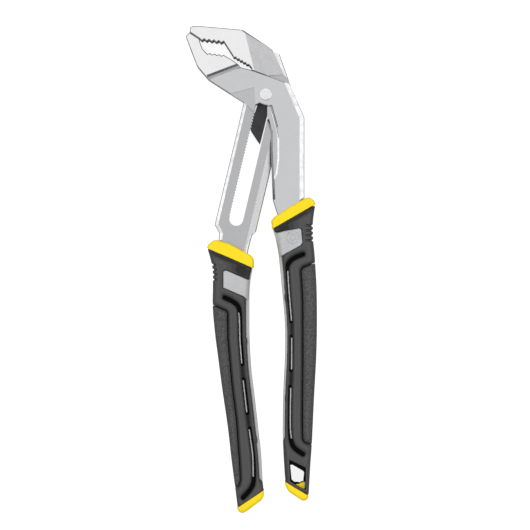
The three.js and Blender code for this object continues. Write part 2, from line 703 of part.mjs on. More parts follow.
piece('slot_arm', slotArm(), 'steel');
piece('pivot_arm', pivotArm(), 'steel');
piece('pivot_pin', pivotPin(), 'steel');
piece('pin_washer', pinWasher(), 'steel');
piece('pawl', pawl(), 'phosphate');
piece('pawl_spring', pawlSpring(), 'steel');
piece('left_core', core(left, leftTang), 'core');
piece('left_grip', grip(left, leftTang), 'rubber');
piece('left_pad', pad(left), 'pad');
piece('left_collar', collar(left, leftTang), 'yellow');
piece('left_end_cap', endCap(left), 'yellow');
piece('right_core', core(right, rightTang).subtract(medallion()), 'core');
piece('right_grip', grip(right, rightTang).subtract(hangCuts()), 'rubber');
piece('right_pad', pad(right), 'pad');
piece('right_collar', collar(right, rightTang), 'yellow');
piece('right_end_cap', endCap(right).add(tongue(0)), 'yellow');

const box = new THREE.Box3().setFromObject(pliers);
const centre = box.getCenter(new THREE.Vector3());
pliers.position.set(-centre.x, -centre.y, -box.min.z);

export default pliers;
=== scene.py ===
"""Looks for a pair of tongue and groove pliers that lies flat, seen straight from above.

The forged steel is the CAD's own, with rounded edges. The handles are moulded pieces, so each of them
is made as a distance field and meshed: every rim, groove and corner has a real radius. Their outlines
are in millimetres from the centre of the pivot pin, with z from the tool's middle plane.
"""
import math

import bpy
import numpy as np
import openvdb
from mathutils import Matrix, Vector


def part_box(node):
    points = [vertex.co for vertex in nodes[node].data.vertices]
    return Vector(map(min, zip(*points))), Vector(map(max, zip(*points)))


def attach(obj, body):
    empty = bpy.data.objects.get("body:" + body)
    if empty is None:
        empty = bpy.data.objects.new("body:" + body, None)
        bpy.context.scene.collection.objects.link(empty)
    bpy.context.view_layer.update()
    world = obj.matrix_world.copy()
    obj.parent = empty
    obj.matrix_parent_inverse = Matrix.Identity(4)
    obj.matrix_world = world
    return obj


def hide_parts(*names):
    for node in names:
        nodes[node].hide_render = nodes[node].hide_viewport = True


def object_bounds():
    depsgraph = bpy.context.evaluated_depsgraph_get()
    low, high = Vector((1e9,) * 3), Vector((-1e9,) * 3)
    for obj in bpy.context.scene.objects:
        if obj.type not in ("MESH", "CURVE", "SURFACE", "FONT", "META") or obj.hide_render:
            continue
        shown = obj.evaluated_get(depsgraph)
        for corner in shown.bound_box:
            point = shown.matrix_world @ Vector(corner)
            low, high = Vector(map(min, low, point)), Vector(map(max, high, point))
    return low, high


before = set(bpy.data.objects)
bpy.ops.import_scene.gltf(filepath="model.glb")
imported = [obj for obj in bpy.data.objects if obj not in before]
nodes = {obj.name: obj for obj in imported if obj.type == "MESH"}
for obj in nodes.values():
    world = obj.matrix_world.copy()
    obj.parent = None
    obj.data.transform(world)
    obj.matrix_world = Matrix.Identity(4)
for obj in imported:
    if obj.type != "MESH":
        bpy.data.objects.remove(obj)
cad_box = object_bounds()

MM = 0.001
pin_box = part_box("pivot_pin")
ORIGIN = Vector((*((pin_box[0] + pin_box[1]) / 2).xy, (cad_box[0].z + cad_box[1].z) / 2))

# ---- Dimensions of the handles ----

GAP = 0.3               # between pieces, out of sight
SEAM = 0.1              # what each side takes off that gap at the collar
PAD_SEAM = 0.14         # half the gap round a pad
GRIP_HALF = 9.5         # half thicknesses
CORE_HALF = 5.2
PANEL_HALF = 8.9
GRIP_ROUND = 4.6        # radius of the grip's long edges
CORE_INSET = 5.4        # the grip's wall outside the core
CORE_PAST = 6           # how far the core's room runs past the grip's inner edge
PANEL_INSET = 0.45      # the window panel lies this far under the grip's face
PAD_DEPTH = 2.0
SLIT_HALF = 1.0
SLIT_FLOOR = 6.2        # height of the rubber floor of a slit
FIN_HALF = 0.36
FIN_ROOM = 0.2          # round a fin, where it comes up through the rubber
FIN_INSET = 0.3         # its top lies this far under the grip's face
FIN_ROOT = 1            # how far it starts inside the core
FIN_SHIFT = 0.5         # toward the inner edge, off the slit's middle
THROUGH = 20            # more than the handle's half thickness, for a cut right through

RIBS = 4
RIB_HALF = 0.5
RIB_DEPTH = 0.9

# How deep the grip's face sinks, and how wide: along the slits, along the pad's edge, below the
# collar, and at the shoulder between the collar and the window.
SLIT_VALLEY = (1.8, 2.1)
PAD_VALLEY = (1.5, 1.5)
COLLAR_VALLEY = (1.3, 2.2)
COLLAR_VALLEY_AT = 1.7
SHOULDER_DEPTH = 1.5
SHOULDER_WIDTH = 3.6
SHOULDER_AT = 4.5
SHOULDER_RISE = 2.2     # it starts some way in from the outer edge and is full before the inner one
SHOULDER_START = 0.5

# Radii of the moulded edges.
SEAM_RADIUS = 0.1
FIN_RADIUS = 0.15
HIDDEN_RADIUS = 0.2
POCKET_RADIUS = 0.25
PAD_RADIUS = 0.3
RIB_RADIUS = 0.35
SLIT_RADIUS = 0.4
WINDOW_RADIUS = 0.5
SPINE_RADIUS = 1.0
CAP_RADIUS = 2.2
COLLAR_RADIUS = 2.4

GRIP_GRID = 0.4         # spacing of the sample points
FINE_GRID = 0.3
MARGIN_STEPS = 3        # of the grid, round a node's box
FAR_STEPS = 10          # the distance that stands for far away, in grid steps

OUTLINE_POINTS = 120
CORE_POINTS = 100
ABOVE_TOP = 14          # how far the handle's outline runs past its collar and its cap
BELOW_FOOT = 8

LEFT = {
    "wall": 1,
    "outer": [(-37, -86), (-35.7, -94.7), (-34.2, -100), (-32.7, -107), (-32.5, -118), (-32.6, -130.4),
              (-31.2, -146.4), (-29.3, -161.1), (-26.8, -180.2), (-23.4, -203.6), (-21, -224.5),
              (-18.9, -240.5), (-17, -256), (-15.6, -270)],
    "inner": [(-7, -86), (-7.6, -100), (-8.2, -107), (-9.4, -114), (-10, -121), (-10.1, -136),
              (-9.9, -152), (-8.7, -170.4), (-6.7, -186.7), (-4.4, -207.6), (-2.9, -221.4),
              (-2, -236.8), (-1, -248), (0, -270)],
    "strip": [(-121, 0), (-122.5, 1.9), (-149.5, 1.8), (-150, 1.2), (-152.5, 1.2), (-153.5, 1.5),
              (-209, 1.5), (-210, 1.1), (-212.5, 1.1), (-213.5, 1.7), (-236, 1.6), (-237, 0)],
    "top": [(-35.7, -94.4), (-8, -106.4)],
    "foot": [(-17.5, -253.1), (-1.2, -242.2)],
    "collar": [(-38, -98), (-36.4, -94.4), (-35.2, -91.8), (-32, -89.5), (-30.1, -89.2), (-22.1, -91.6),
               (-11.7, -97.2), (-9.2, -98.7), (-7.7, -100.4), (-7.3, -102), (-7.3, -112)],
    "cap": [(-18, -246), (-17.6, -253.4), (-16.6, -255.8), (-14.1, -256.6), (-11.7, -255.4),
            (-2.6, -248.6), (-1.2, -246.2), (-1, -236)],
    "panel": [(-26.4, -108.4), (-24.6, -107.5), (-4, -116.3), (-4, -126.1), (-11.7, -126.1),
              (-13.6, -124.2), (-26.4, -118.7)],
    "pad": [(-40, -125.6), (-32.3, -129.2), (-24.6, -132.8), (-23.6, -134), (-23.4, -150.1),
            (-21, -176.5), (-18.1, -199.9), (-16.3, -224.5), (-15.7, -236), (-16.6, -239.4),
            (-18.5, -240.8), (-30, -246)],
    "slits": [[(-25.2, -124.6), (-20, -127.2), (-16.6, -130.6), (-15.7, -137.1), (-15.4, -150.1),
               (-14.2, -165.4)],
              [(-13.5, -174.7), (-12.3, -185), (-11.1, -195.3)],
              [(-9.8, -204.8), (-8.7, -212.8), (-7.6, -221.4), (-7.2, -235), (-9.2, -241.5),
               (-14.1, -247.2)]],
    "fins": [[(-16.2, -134), (-15.7, -138), (-15.4, -150.1), (-14.3, -164.6)],
             [(-13.4, -175.5), (-12.3, -185), (-11.2, -194.5)],
             [(-9.7, -205.6), (-8.7, -212.8), (-7.6, -221.4), (-7.2, -234)]],
    "ribs": (-104.5, -113.5),
    "rib_reach": 2.6,
    "core": (-98, -238),
    "tang": [(-28.6, -84), (-28.9, -88.7), (-29, -100), (-28.2, -124), (-25, -160), (-20.5, -200),
             (-17.6, -220), (-10.5, -220), (-10.8, -200), (-13.6, -160), (-14.4, -130), (-12.4, -104),
             (-10.5, -94.1), (-8.4, -84)],
    "tang_half": [(-80, 2.5)],
}

RIGHT = {
    "wall": -1,
    "outer": [(31, -58), (30.4, -67.3), (29.5, -73.2), (28.9, -79.3), (29.1, -89.2), (29.8, -96.6),
              (30.4, -105), (31.2, -119.9), (31.4, -139.6), (31, -159.9), (29.6, -186.3),
              (28.3, -213.4), (27.2, -229.4), (26.2, -247), (25, -262)],
    "inner": [(2, -58), (3.4, -76.9), (4.3, -82.4), (6.2, -89.2), (8, -99.6), (10, -119.9),
              (11.7, -139.6), (11.8, -159.9), (10.9, -180.2), (10.5, -196), (10.5, -212.2),
              (11.1, -224.5), (11.6, -232.5), (12.2, -241), (13, -262)],
    "strip": [(-94, 0), (-95.5, 1.7), (-108, 1.5), (-122, 1.2), (-123, 0.7), (-126, 0.7), (-127, 1),
              (-184, 1), (-185, 0.7), (-187, 0.7), (-188, 1), (-210.5, 1), (-211.5, 0)],
    "top": [(4.3, -82.4), (30.4, -67.3)],
    "foot": [(12.1, -237.2), (26.3, -245.8)],
    "collar": [(4.2, -88), (3.6, -80), (3.3, -77.4), (5.5, -75), (14.8, -68.9), (24, -63.7),
               (26.4, -63), (28.9, -64.4), (30.5, -66.7), (30.4, -74)],
    "cap": [(11.6, -230), (11.8, -238.6), (12.6, -241.1), (14.1, -243.5), (22.4, -249),
            (24.6, -248.8), (26, -247.2), (26.4, -245), (26.8, -236)],
    "panel": [(0, -86), (20.3, -82), (22, -82.5), (22.8, -91), (21.5, -92.9), (9.2, -99.6), (0, -99.6)],
    "pad": [(40, -99.6), (30.1, -103.3), (22.8, -106.4), (21.7, -108.2), (22.3, -117), (22.8, -126.1),
            (22.9, -159.9), (22.6, -199.9), (22.8, -211.2), (24, -213), (28, -214.6), (40, -218)],
    "slits": [[(22.8, -98.1), (17.8, -100.2), (14.4, -103), (12.9, -107.4), (13.7, -119.9),
               (15.3, -139.3)],
              [(15.4, -148.6), (15.4, -159), (15.3, -169.1)],
              [(14.8, -179.3), (14.6, -192), (14.6, -204.8), (15.4, -212), (17.6, -216.6),
               (22.8, -220.5)]],
    "fins": [[(13, -108.5), (13.7, -119.9), (15.25, -138.5)],
             [(15.4, -149.4), (15.4, -159), (15.3, -168.3)],
             [(14.8, -180.1), (14.6, -192), (14.6, -204.8), (15.2, -210.6)]],
    "ribs": (-80.5, -89.5),
    "rib_reach": 4.6,
    "core": (-80, -219),
    "tang": [(4.2, -60), (4.3, -64.6), (6.8, -72.6), (9.4, -80), (9.8, -86), (14.6, -96), (16.8, -140),
             (16.2, -180), (17.2, -212), (22, -212), (23, -180), (24.6, -140), (23.6, -96),
             (23.7, -80), (23.7, -60)],
    "tang_half": [(-86, 6), (-86.4, 2.6)],
}

HANG_HOLE = [(15, -227.2), (16.2, -227), (23.1, -231), (23.6, -232.4), (23.1, -237.2), (20, -238.4),
             (17.6, -238.3), (15.9, -236.9)]
HANG_FRAME = [(14.4, -223.8), (24.4, -228.6), (24.4, -242.4), (14.9, -237)]
TONGUE = [(18, -238.8), (20, -238.9), (22.9, -237.6), (24, -237.8), (23.6, -246), (17.4, -243)]
TONGUE_HALF = 6.0
MEDALLION = (16.4, -88.0)
RING_RADII = (3.75, 1.85)
RING_HALF = 0.3
RING_EDGE = 0.15

# ---- Distance fields, in millimetres, negative inside ----

NO_LENGTH = 1e-12       # keeps a point that is given twice from dividing by zero


def smooth_line(points, steps=12):
    """A smooth curve through the points."""
    p = np.array([points[0], *points, points[-1]], float)
    t = np.linspace(0, 1, steps, endpoint=False)[:, None]
    parts = []
    for a, b, c, d in zip(p, p[1:], p[2:], p[3:]):
        parts.append(0.5 * (2 * b + (c - a) * t + (2 * a - 5 * b + 4 * c - d) * t ** 2
                            + (3 * b - a - 3 * c + d) * t ** 3))
    return np.vstack([*parts, p[-1:]])


def across(edge, y):
    """The x of a smooth edge at each y."""
    line = smooth_line(edge)[::-1]
    return np.interp(y, line[:, 1], line[:, 0])


def step_table(pairs, y):
    """A value that changes with y as the pairs say, from the top down."""
    table = np.array(pairs, float)[::-1]
    return np.interp(y, table[:, 0], table[:, 1])


def line_distance(points, x, y):
    """Distance from a line through the points."""
    best = np.full(x.shape, np.inf)
    for (ax, ay), (bx, by) in zip(points[:-1], points[1:]):
        dx, dy = bx - ax, by - ay
        size = dx * dx + dy * dy + NO_LENGTH
        t = np.clip(((x - ax) * dx + (y - ay) * dy) / size, 0, 1)
        best = np.minimum(best, (x - ax - t * dx) ** 2 + (y - ay - t * dy) ** 2)
    return np.sqrt(best)


def outline_distance(points, x, y):
    """Distance from a closed outline, negative inside it."""
    ring = np.vstack([points, points[:1]])
    inside = np.zeros(x.shape, bool)
    for (ax, ay), (bx, by) in zip(ring[:-1], ring[1:]):
        if ay != by:
            crosses = (ay > y) != (by > y)
            inside ^= crosses & (x < ax + (y - ay) * (bx - ax) / (by - ay))
    distance = line_distance(ring, x, y)
    return np.where(inside, -distance, distance)


def left_of(p, q, x, y):
    """Distance from the line p to q, negative on its left."""
    size = math.hypot(q[0] - p[0], q[1] - p[1])
    return ((x - p[0]) * (q[1] - p[1]) - (y - p[1]) * (q[0] - p[0])) / size


def both(a, b, radius):
    """Where two solids meet, with their common edge rounded."""
    corner = np.hypot(np.maximum(a + radius, 0), np.maximum(b + radius, 0))
    return np.minimum(np.maximum(a, b), -radius) + corner


def cut(body, tool, radius):
    """The body without the tool, with the rim rounded."""
    return both(body, -tool, radius)


def join(a, b, radius):
    """Two solids as one, with a fillet between them."""
    return -both(-a, -b, radius)


class Space:
    """Sample points round a CAD node. Each z counts from the middle plane to either face."""

    def __init__(self, node, step):
        a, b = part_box(node)
        margin = MARGIN_STEPS * step
        start = [v / MM - margin for v in a - ORIGIN]
        end = [v / MM + margin for v in b - ORIGIN]
        self.step = step
        self.start = start
        xs, ys, zs = [np.arange(s, e + step, step) for s, e in zip(start, end)]
        self.x, self.y = np.meshgrid(xs, ys, indexing="ij")
        self.z = np.abs(zs)[None, None, :]

    def mesh(self, name, field, sunk=None):
        """The field's surface as an object. `sunk` is stored on its vertices, for the rubber's painted
        highlight and painted shade.
        """
        grid = openvdb.FloatGrid(float(FAR_STEPS * self.step))
        grid.copyFromArray(np.ascontiguousarray(field, np.float32))
        points, quads = grid.convertToQuads(0.0)
        at = np.rint(points).astype(int)
        points = (points * self.step + np.array(self.start)) * MM + np.array(ORIGIN)
        mesh = bpy.data.meshes.new(name)
        mesh.vertices.add(len(points))
        mesh.vertices.foreach_set("co", points.astype(np.float32).ravel())
        mesh.loops.add(4 * len(quads))
        mesh.loops.foreach_set("vertex_index", quads[:, ::-1].astype(np.int32).ravel())
        mesh.polygons.add(len(quads))
        mesh.polygons.foreach_set("loop_start", np.arange(0, 4 * len(quads), 4, dtype=np.int32))
        mesh.polygons.foreach_set("use_smooth", np.ones(len(quads), bool))
        mesh.update(calc_edges=True)
        if sunk is not None:
            layer = mesh.attributes.new("sunk", "FLOAT", "POINT")
            layer.data.foreach_set("value", sunk[tuple(at.T)].astype(np.float32))
        mesh.validate()
        piece = bpy.data.objects.new(name, mesh)
        bpy.context.scene.collection.objects.link(piece)
        return piece


def plate(outline, half, space, radius=0.0, grow=0.0):
    """A flat plate with that outline and half thickness."""
    flat = outline_distance(np.array(outline, float), space.x, space.y)[..., None] - grow
    return both(flat, space.z - half, radius)


def handle_outline(side, stand_back):
    """The handle's outline. Its inner edge stands back where the core shows beside it."""
    top, foot = side["top"][0][1] + ABOVE_TOP, side["foot"][0][1] - BELOW_FOOT
    y = np.linspace(top, foot, OUTLINE_POINTS)
    outer = across(side["outer"], y)
    inner = across(side["inner"], y)
    if stand_back:
        inner = inner - side["wall"] * step_table(side["strip"], y)
    return np.vstack([np.column_stack([outer, y]), np.column_stack([inner, y])[::-1]])


def dip(distance, shape):
    """A soft valley with a depth and a width."""
    depth, width = shape
    return depth * np.exp(-(distance / width) ** 2)


def half_thickness(side, space):
    """The face sinks in soft valleys along the slits, the pad and the collar."""
    slit_line = np.vstack([smooth_line(slit) for slit in side["slits"]])
    slit = line_distance(slit_line, space.x, space.y)
    pad = np.abs(outline_distance(np.array(side["pad"], float), space.x, space.y))
    below = left_of(side["top"][1], side["top"][0], space.x, space.y)
    valley = dip(slit, SLIT_VALLEY) + dip(pad, PAD_VALLEY)
    valley = np.maximum(valley, dip(below + COLLAR_VALLEY_AT, COLLAR_VALLEY))
    return (GRIP_HALF - np.maximum(valley, shoulder(side, space, below)))[..., None]


def shoulder(side, space, below):
    """The dip between the collar and the window, deepest at the inner edge."""
    outer, inner = across(side["outer"], space.y), across(side["inner"], space.y)
    inward = np.clip((space.x - outer) / (inner - outer), 0, 1)
    share = np.clip(inward * SHOULDER_RISE - SHOULDER_START, 0, 1)
    return SHOULDER_DEPTH * share * np.exp(-((below + SHOULDER_AT) / SHOULDER_WIDTH) ** 4)


def blank(side, space, stand_back=True):
    """A handle's outer shape, before anything is cut in it."""
    flat = outline_distance(handle_outline(side, stand_back), space.x, space.y)[..., None]
    return both(flat, space.z - half_thickness(side, space), GRIP_ROUND)


def depth_in_blank(side, space):
    """How deep a point lies under the handle's plain rounded shape, without its valleys."""
    flat = outline_distance(handle_outline(side, True), space.x, space.y)[..., None]
    return -both(flat, space.z - GRIP_HALF, GRIP_ROUND)


def between_lines(side, space):
    """Between the collar's lower line and the end cap's upper one."""
    top = left_of(side["top"][1], side["top"][0], space.x, space.y)
    foot = left_of(*side["foot"], space.x, space.y)
    return np.maximum(top, foot)[..., None] + GAP / 2


def core_outline(side, grow, past):
    """The core's outline, grown, and run past the handle's inner edge."""
    y = np.linspace(side["core"][0] + grow, side["core"][1] - grow, CORE_POINTS)
    outer = across(side["outer"], y) + side["wall"] * (CORE_INSET - grow)
    inner = across(side["inner"], y) + side["wall"] * past
    return np.vstack([np.column_stack([outer, y]), np.column_stack([inner, y])[::-1]])


def tang(side, space):
    """The room that the steel takes inside a handle."""
    flat = outline_distance(np.array(side["tang"], float), space.x, space.y)[..., None]
    half = step_table(side["tang_half"], space.y)[..., None]
    return np.maximum(flat - GAP, space.z - half - GAP)


def ribs(side, space, body):
    """Short grooves across the outer edge, below the collar."""
    first, last = side["ribs"]
    outer = across(side["outer"], space.y)
    reach = (np.abs(space.x - outer) - side["rib_reach"])[..., None]
    grooves = np.full(body.shape, np.inf)
    for y in np.linspace(first, last, RIBS):
        grooves = np.minimum(grooves, np.abs(space.y - y)[..., None] - RIB_HALF)
    return np.maximum(np.maximum(grooves, reach), -(body + RIB_DEPTH))


def lines_distance(lines, space, shift=0.0):
    smooth = [smooth_line(line) + np.array([shift, 0]) for line in lines]
    return np.minimum.reduce([line_distance(line, space.x, space.y) for line in smooth])[..., None]


def fin_lines(side, space):
    """Distance from the middles of the fins."""
    return lines_distance(side["fins"], space, -side["wall"] * FIN_SHIFT) - FIN_HALF


def grip_field(side, space):
    whole = blank(side, space)
    pad = outline_distance(np.array(side["pad"], float), space.x, space.y)[..., None] - PAD_SEAM
    body = both(whole, between_lines(side, space) - SEAM, SEAM_RADIUS)
    body = cut(body, np.maximum(pad, -(whole + PAD_DEPTH + GAP)), POCKET_RADIUS)
    core = plate(core_outline(side, GAP, CORE_PAST), CORE_HALF + GAP, space)
    body = cut(body, core, HIDDEN_RADIUS)
    body = cut(body, plate(side["panel"], THROUGH, space), WINDOW_RADIUS)
    slits = np.maximum(lines_distance(side["slits"], space) - SLIT_HALF, SLIT_FLOOR - space.z)
    body = cut(body, slits, SLIT_RADIUS)
    fins = np.maximum(fin_lines(side, space) - FIN_ROOM, CORE_HALF - space.z)
    body = cut(body, fins, SEAM_RADIUS)
    body = cut(body, ribs(side, space, whole), RIB_RADIUS)
    return cut(body, tang(side, space), HIDDEN_RADIUS)


def hang_cuts(space, body):
    """The hanging hole, its sunk frame, and the way for the end cap's tongue."""
    body = cut(body, plate(HANG_HOLE, THROUGH, space), WINDOW_RADIUS)
    frame_cut = outline_distance(np.array(HANG_FRAME, float), space.x, space.y)[..., None]
    body = cut(body, np.maximum(frame_cut, TONGUE_HALF + GAP - space.z), WINDOW_RADIUS)
    return cut(body, plate(TONGUE, TONGUE_HALF + GAP, space, grow=GAP), HIDDEN_RADIUS)


def core_field(side, space):
    spine = plate(core_outline(side, 0, 0), CORE_HALF, space, SPINE_RADIUS)
    whole = blank(side, space, stand_back=False)
    panel = plate(side["panel"], PANEL_HALF, space, WINDOW_RADIUS, -GAP)
    panel = both(panel, whole + PANEL_INSET, WINDOW_RADIUS)
    fin_top = half_thickness(side, space) - FIN_INSET
    span = np.maximum(space.z - fin_top, CORE_HALF - FIN_ROOT - space.z)
    fins = both(fin_lines(side, space), span, FIN_RADIUS)
    body = np.minimum(join(spine, panel, SLIT_RADIUS), fins)
    body = both(body, between_lines(side, space), HIDDEN_RADIUS)
    return cut(body, tang(side, space), HIDDEN_RADIUS)


def rings(space, body):
    """Two plain rings sunk into the window panel."""
    face = body + PANEL_INSET
    radius = np.hypot(space.x - MEDALLION[0], space.y - MEDALLION[1])[..., None]
    reach = np.maximum(CORE_HALF - space.z, -face)
    for middle in RING_RADII:
        groove = np.maximum(np.abs(radius - middle) - RING_HALF, reach)
        body = cut(body, groove, RING_EDGE)
    return body


def pad_field(side, space):
    whole = blank(side, space)
    zone = outline_distance(np.array(side["pad"], float), space.x, space.y)[..., None] + PAD_SEAM
    body = both(both(zone, whole, PAD_RADIUS), between_lines(side, space), PAD_RADIUS)
    return cut(body, whole + PAD_DEPTH, HIDDEN_RADIUS)


def collar_field(side, space):
    line = left_of(side["top"][0], side["top"][1], space.x, space.y)[..., None] + GAP / 2
    ring = both(plate(side["collar"], GRIP_HALF, space, COLLAR_RADIUS), line - SEAM, SEAM_RADIUS)
    return cut(ring, tang(side, space), PAD_RADIUS)


def cap_field(side, space):
    line = left_of(side["foot"][1], side["foot"][0], space.x, space.y)[..., None] + GAP / 2
    return both(plate(side["cap"], GRIP_HALF, space, CAP_RADIUS), line, PAD_RADIUS)


# ---- Materials ----

# The steel's tones are painted light: a painted shade on slopes, a darker painted shade on the slot
# arm's low faces, a lighter tone on the cheeks, and a painted highlight on the level faces of the jaws
# at the top.
SHADED_SLOPE_STEEL = (0.465, 0.465, 0.475)
SHADED_LOW_STEEL = (0.435, 0.437, 0.445)
OUTER_STEEL = (0.545, 0.547, 0.555)
HIGHLIT_TOP_STEEL = (0.785, 0.785, 0.79)
OUTER_FROM, OUTER_TO = 4.6 * MM, 5.9 * MM       # heights over the middle plane
HIGHLIT_FROM, HIGHLIT_TO = 6.2 * MM, 6.8 * MM
LEVEL_FROM, LEVEL_TO = 0.975, 0.995             # of the normal's Z, where a face counts as flat

PIN_TONES = ((0.66, 0.66, 0.67), (0.80, 0.80, 0.81))
PHOSPHATE_TONES = ((0.014, 0.014, 0.016), (0.046, 0.046, 0.05))
PAD_TONES = ((0.040, 0.040, 0.041), (0.056, 0.056, 0.056))
PEBBLE_TONE = (0.092, 0.092, 0.093)
CORE_TONES = ((0.43, 0.435, 0.44), (0.52, 0.52, 0.525))
YELLOW_TONES = ((0.92, 0.64, 0.0), (0.97, 0.75, 0.002))
# Paler yellow on convex edges: partly scuffs, partly a painted highlight.
SCUFFED_SHEEN_YELLOW = (1.0, 0.80, 0.16)
FLOOR_TONES = ((0.43, 0.43, 0.43), (0.45, 0.45, 0.45))
FLOOR_GLOW = 0.85                               # seen by the camera only

PLAIN_RUBBER = ((0.019, 0.019, 0.020), (0.026, 0.026, 0.026))
# The ridges get a painted highlight, the convex edges a lighter tone that is partly wear and partly a
# painted highlight, and the deep valleys and grooves a painted shade.
RIDGE_HIGHLIGHT_RUBBER = (0.050, 0.050, 0.050)
RUBBED_SHEEN_RUBBER = (0.10, 0.10, 0.10)
DEEP_SHADE_RUBBER = (0.003, 0.003, 0.003)
RIDGE_DEPTH = 1.1                               # millimetres under the plain shape
DEEP_FROM, DEEP_TO = 0.7, 2.1


class Look:
    """A node material whose textures are in the frame's metres."""

    def __init__(self, name):
        self.material = bpy.data.materials.new(name)
        self.material.use_nodes = True
        self.tree = self.material.node_tree
        self.bsdf = self.tree.nodes["Principled BSDF"]
        self.place = self.tree.nodes.new("ShaderNodeTexCoord").outputs["Object"]

    def node(self, kind, inputs=None, **settings):
        made = self.tree.nodes.new("ShaderNode" + kind)
        for key, value in settings.items():
            setattr(made, key, value)
        for key, value in (inputs or {}).items():
            if isinstance(value, bpy.types.NodeSocket):
                self.tree.links.new(value, made.inputs[key])
            else:
                made.inputs[key].default_value = value
        return made

    def set(self, key, value):
        if isinstance(value, bpy.types.NodeSocket):
            self.tree.links.new(value, self.bsdf.inputs[key])
        else:
            self.bsdf.inputs[key].default_value = value

    def noise(self, scale, detail=3.0, stretch=(1, 1, 1), rough=0.55):
        """A noise from 0 to 1 with `scale` features to the metre, shrunk along each axis by stretch."""
        moved = self.node("Mapping", {"Vector": self.place, "Scale": stretch})
        inputs = {"Vector": moved.outputs[0], "Scale": scale, "Detail": detail, "Roughness": rough}
        return self.node("TexNoise", inputs).outputs["Fac"]

    def range(self, value, low, high, to_low, to_high, smooth=False):
        """The value stretched from low..high to to_low..to_high."""
        inputs = {"Value": value, "From Min": low, "From Max": high, "To Min": to_low,
                  "To Max": to_high}
        kind = "SMOOTHSTEP" if smooth else "LINEAR"
        return self.node("MapRange", inputs, interpolation_type=kind).outputs["Result"]

    def math(self, operation, a, b=0.0, c=0.0):
        return self.node("Math", {0: a, 1: b, 2: c}, operation=operation).outputs[0]

    def blend(self, share, a, b):
        """Colour a where share is 0, colour b where it is 1."""
        mixer = self.node("Mix", {"Factor": share}, data_type="RGBA")
        for socket, value in ((mixer.inputs[6], a), (mixer.inputs[7], b)):
            if isinstance(value, bpy.types.NodeSocket):
                self.tree.links.new(value, socket)
            else:
                socket.default_value = (*value, 1)
        return mixer.outputs[2]

    def bump(self, height, strength, distance, normal=None):
        inputs = {"Height": height, "Strength": strength, "Distance": distance}
        if normal:
            inputs["Normal"] = normal
        return self.node("Bump", inputs).outputs["Normal"]

    def edges(self, low, high):
        """Goes from 0 to 1 with the convexity of a fine mesh."""
        pointy = self.node("NewGeometry").outputs["Pointiness"]
        return self.range(pointy, low, high, 0.0, 1.0)


def forged_steel():
    """Satin plated steel with painted light: level faces are painted darker the lower they lie, as
    shade, and brightest at the top, as a highlight; slopes take a painted shade of their own.
    """
    look = Look("satin_steel")
    height = look.node("SeparateXYZ", {"Vector": look.place}).outputs["Z"]
    from_middle = look.math("ABSOLUTE", look.math("SUBTRACT", height, ORIGIN.z))
    facing = look.node("SeparateXYZ", {"Vector": look.node("NewGeometry").outputs["True Normal"]})
    level = look.range(look.math("ABSOLUTE", facing.outputs["Z"]), LEVEL_FROM, LEVEL_TO, 0.0, 1.0)
    outer = look.range(from_middle, OUTER_FROM, OUTER_TO, 0.0, 1.0)
    high = look.range(from_middle, HIGHLIT_FROM, HIGHLIT_TO, 0.0, 1.0)
    top_highlight = look.math("MULTIPLY", high, level)
    grain = look.noise(2300, 3, rough=0.6)
    cloud = look.noise(45, 3)
    lines = look.noise(420, 2, stretch=(0.5, 9, 1))
    grit = look.math("MULTIPLY_ADD", lines, 0.7, look.math("MULTIPLY", grain, 0.3))
    # Painted shade by height on level faces, a painted highlight on the level top faces, and a painted
    # shade on every slope.
    forged = look.blend(outer, SHADED_LOW_STEEL, OUTER_STEEL)
    flats = look.blend(top_highlight, forged, HIGHLIT_TOP_STEEL)
    base = look.blend(level, SHADED_SLOPE_STEEL, flats)
    mottled = look.math("MULTIPLY_ADD", cloud, 0.08, look.range(grit, 0.3, 0.7, 0.94, 0.985))
    tone = look.node("Mix", {"Factor": 1.0}, data_type="RGBA", blend_type="MULTIPLY")
    look.tree.links.new(base, tone.inputs[6])
    grey = look.node("CombineColor", {0: mottled, 1: mottled, 2: mottled}).outputs[0]
    look.tree.links.new(grey, tone.inputs[7])
    look.set("Base Color", tone.outputs[2])
    look.set("Metallic", 1.0)
    shine = look.range(look.noise(260, 4), 0.35, 0.65, 0.22, 0.32)
    look.set("Roughness", shine)
    first = look.bump(grain, 0.04, 0.05 * MM)
    look.set("Normal", look.bump(lines, 0.06, 0.05 * MM, first))
    return look.material


def pin_steel():
    look = Look("pin_steel")
    cloud = look.noise(600, 4)
    look.set("Base Color", look.blend(cloud, *PIN_TONES))
    look.set("Metallic", 1.0)
    look.set("Roughness", look.range(cloud, 0.3, 0.7, 0.24, 0.36))
    look.set("Normal", look.bump(look.noise(2200, 2), 0.15, 0.03 * MM))
    return look.material


def phosphated_steel():
    look = Look("phosphated_steel")
    cloud = look.noise(300, 5)
    grain = look.noise(2500, 3)
    look.set("Base Color", look.blend(cloud, *PHOSPHATE_TONES))
    look.set("Metallic", 0.55)
    look.set("Roughness", look.range(grain, 0.3, 0.7, 0.42, 0.62))
    look.set("Normal", look.bump(grain, 0.35, 0.06 * MM))
    return look.material


